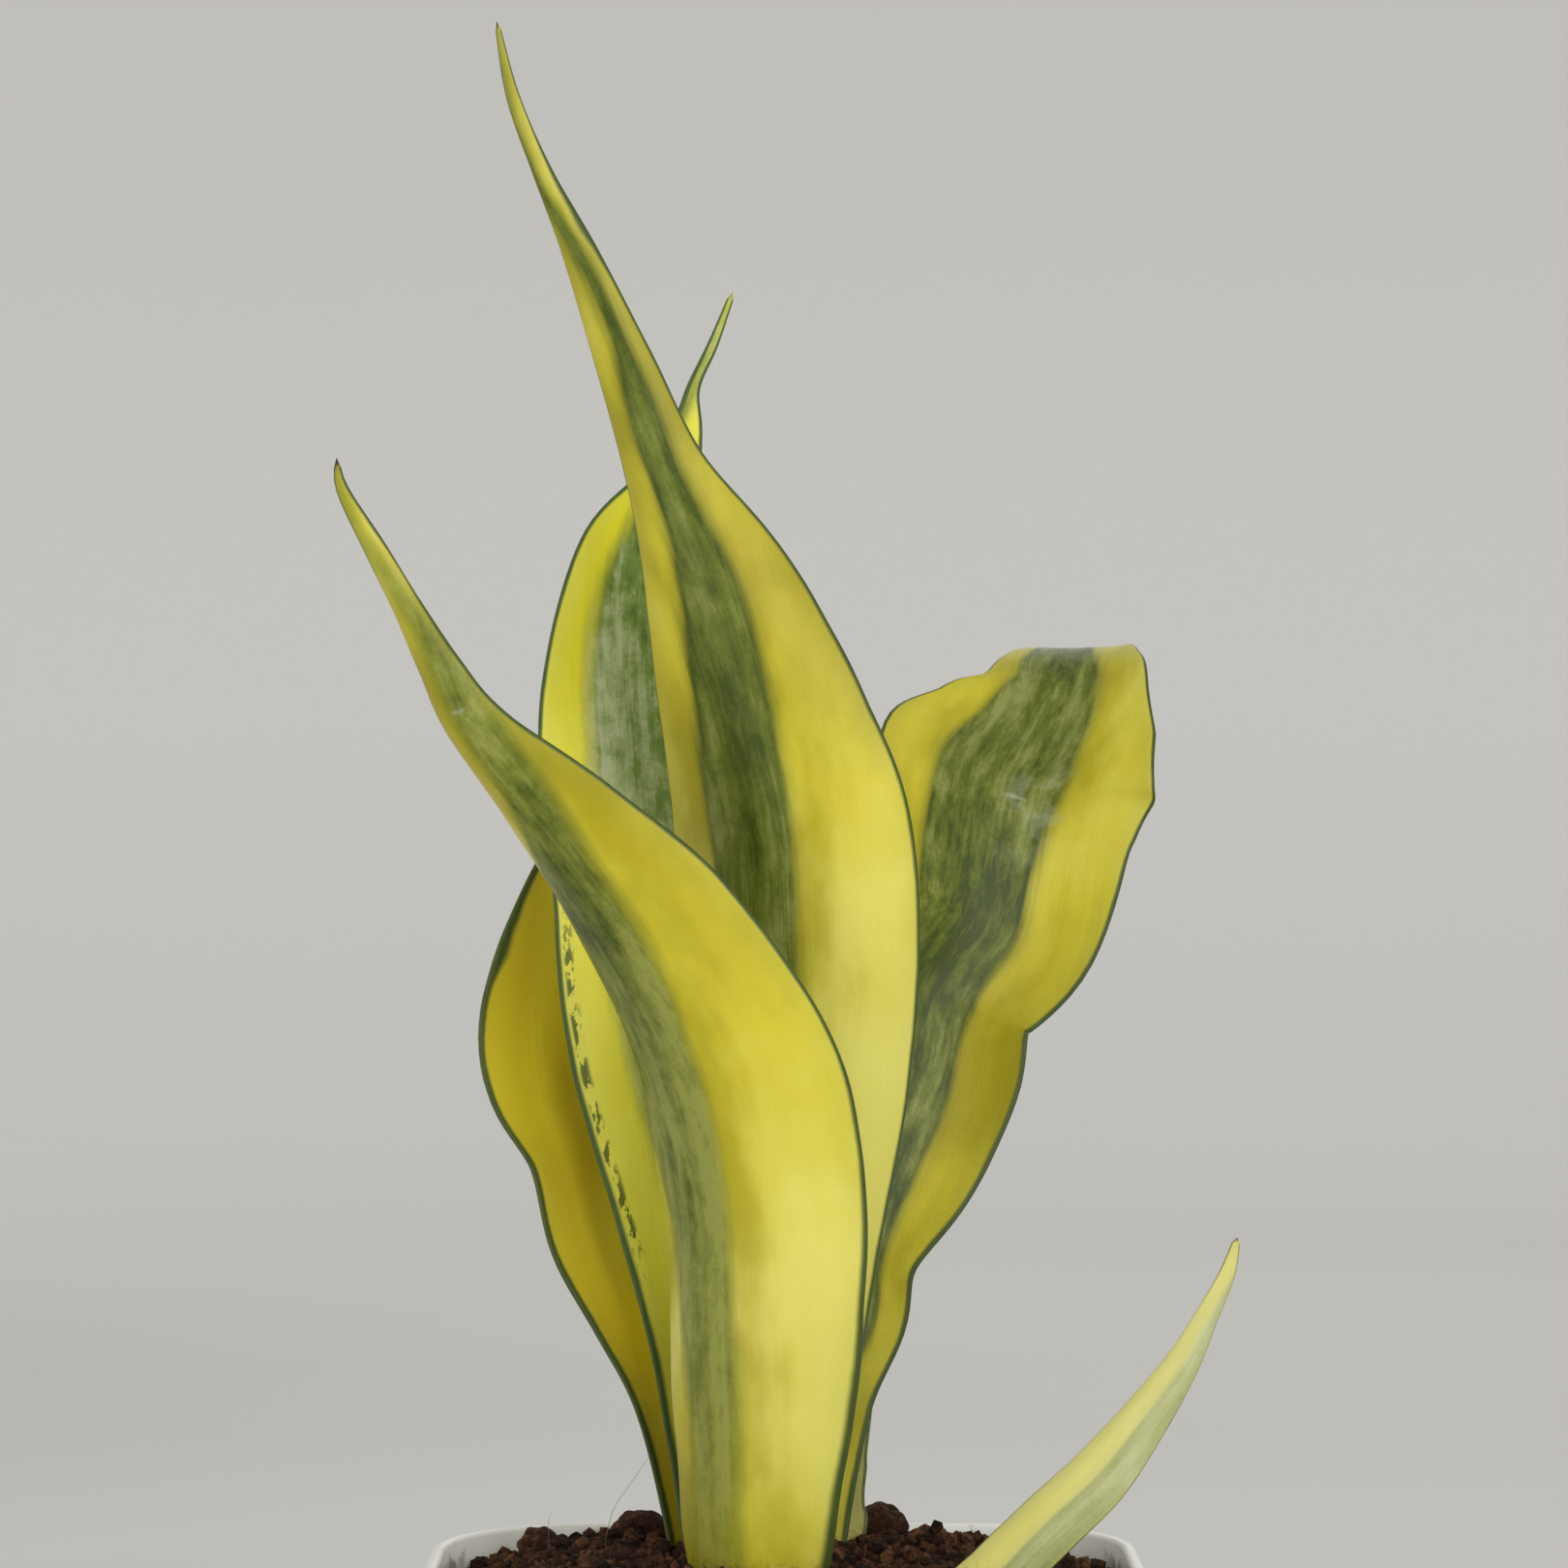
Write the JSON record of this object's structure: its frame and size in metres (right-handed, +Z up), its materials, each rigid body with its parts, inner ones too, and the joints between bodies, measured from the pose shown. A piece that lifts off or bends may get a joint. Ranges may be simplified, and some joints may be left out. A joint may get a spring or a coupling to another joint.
{
  "type": "potted snake plant",
  "caption": "Variegated snake plant with yellow-edged sword leaves in a white rounded-square pot of dark soil.",
  "frame": {"origin": "centre of the flat underside of the pot, where it stands", "axes": "+Z up along the plant, +X to the right seen from the front, -Y towards the viewer, so the front leaves lie at -Y"},
  "size_m": [0.1707, 0.1873, 0.4321],
  "materials": {
    "pot_white": "smooth satin white",
    "soil_brown": "loose dark peaty potting soil, matte",
    "rhizome_tan": "fibrous underground stem and roots",
    "leaf_yellow": "waxy leaf, yellow margins, green centre stripe, thin dark green edge",
    "leaf_gold": "waxy leaf, deep gold margins, green centre stripe, dark green edge",
    "leaf_young": "waxy young leaf, pale yellow and sage green",
    "sheath_pale": "pale dry sheath leaf"
  },
  "bodies": {
    "root": {"pot": "pot_white", "soil": "soil_brown", "rhizome": "rhizome_tan", "leaf_front": "leaf_yellow", "leaf_tall": "leaf_yellow", "leaf_back": "leaf_yellow", "leaf_left": "leaf_gold", "leaf_right": "leaf_yellow", "leaf_small": "leaf_young", "sheath": "sheath_pale", "clod_right": "soil_brown", "clod_left": "soil_brown", "clod_far": "soil_brown", "clod_near": "soil_brown"}
  },
  "joints": []
}
